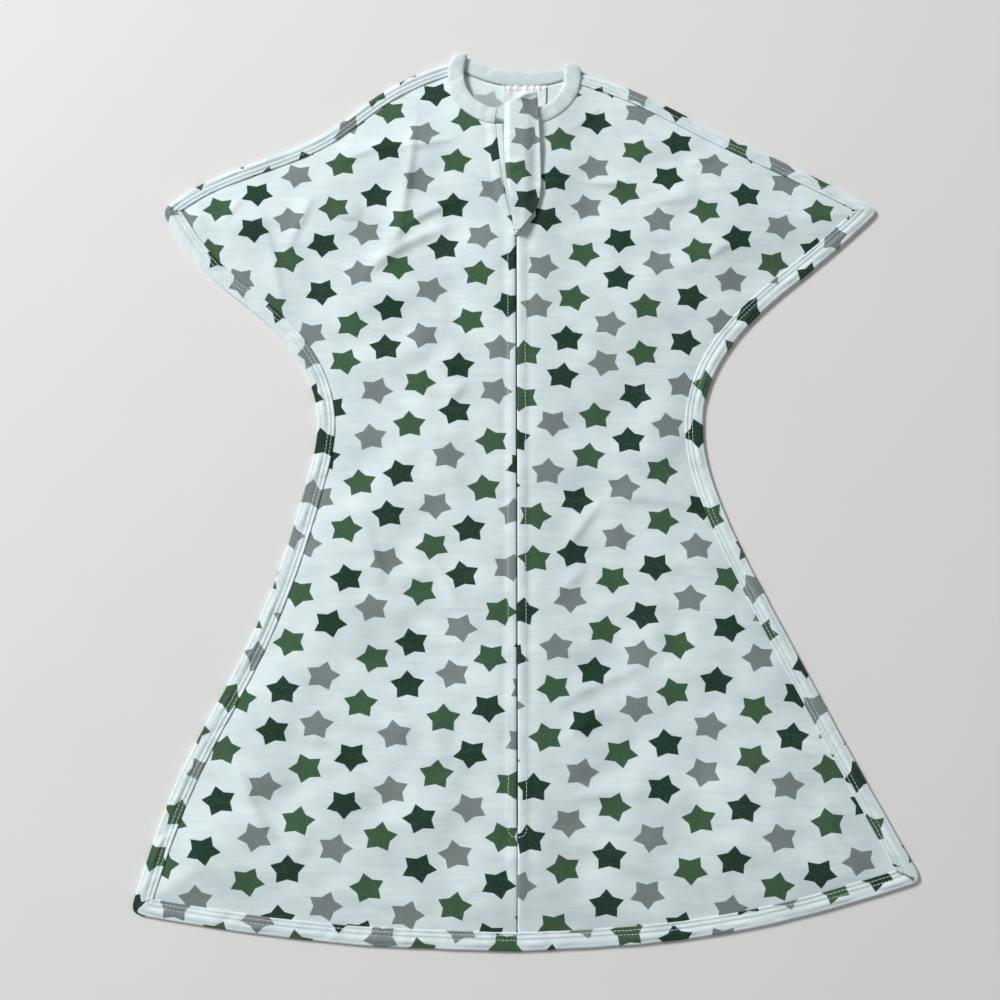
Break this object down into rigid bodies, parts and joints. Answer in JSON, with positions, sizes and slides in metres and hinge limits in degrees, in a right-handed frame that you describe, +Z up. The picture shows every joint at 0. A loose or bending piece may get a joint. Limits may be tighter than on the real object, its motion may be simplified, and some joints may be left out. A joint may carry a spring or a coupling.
{
  "type": "baby sleeping bag",
  "caption": "Wing-sleeved baby sleeping bag in star-print jersey, laid flat, with a centre front zip, a rib neck binding and a closed hem.",
  "frame": {"origin": "middle of the underside of the bag as it lies flat on its back", "axes": "+Y from the hem towards the neck, +X towards the wing on the right of the picture of the front, +Z up, out of the front"},
  "size_m": [0.587, 0.7025, 0.0153],
  "materials": {
    "printed_jersey": "matt cotton jersey with printed stars",
    "plain_jersey": "matt cotton jersey, not printed",
    "rib": "fine matt cotton rib",
    "satin_label": "soft satin",
    "thread": "spun polyester thread",
    "zip_tape": "woven tape",
    "zip_nylon": "satin nylon",
    "painted_zinc": "semi-gloss white paint"
  },
  "bodies": {
    "bag": {"back_panel": "printed_jersey", "centre_seam": "plain_jersey", "front_edge_facing": "plain_jersey", "front_panel_left": "printed_jersey", "front_panel_right": "printed_jersey", "hem_stitches": "thread", "hem_wrap": "printed_jersey", "label_stitches": "thread", "neck_binding": "rib", "neck_label": "satin_label", "open_coil_left": "zip_nylon", "open_coil_right": "zip_nylon", "shoulder_stitches_left": "thread", "shoulder_stitches_right": "thread", "shoulder_wrap_left": "printed_jersey", "shoulder_wrap_right": "printed_jersey", "side_stitches_left": "thread", "side_stitches_right": "thread", "side_wrap_left": "printed_jersey", "side_wrap_right": "printed_jersey", "zip_bartack": "thread", "zip_bottom_stop": "zip_nylon", "zip_coil_left": "zip_nylon", "zip_coil_right": "zip_nylon", "zip_guard": "printed_jersey", "zip_stitches_left": "thread", "zip_stitches_right": "thread", "zip_tape_left": "zip_tape", "zip_tape_right": "zip_tape", "zip_top_stops": "zip_nylon"},
    "slider": {"zip_slider": "painted_zinc"},
    "pull": {"zip_pull": "painted_zinc"}
  },
  "joints": [
    {"name": "zip_slide", "type": "slide", "parent": "bag", "child": "slider", "axis": [0, 1, 0], "range_m": [-0.455, 0.0815], "deforming": ["zip_guard", "open_coil_left", "open_coil_right"]},
    {"name": "pull_turn", "type": "hinge", "parent": "slider", "child": "pull", "pos_m": [-0.0065, 0.19875, 0.0121], "axis": [1, 0, 0], "range_deg": [0, 180]}
  ]
}
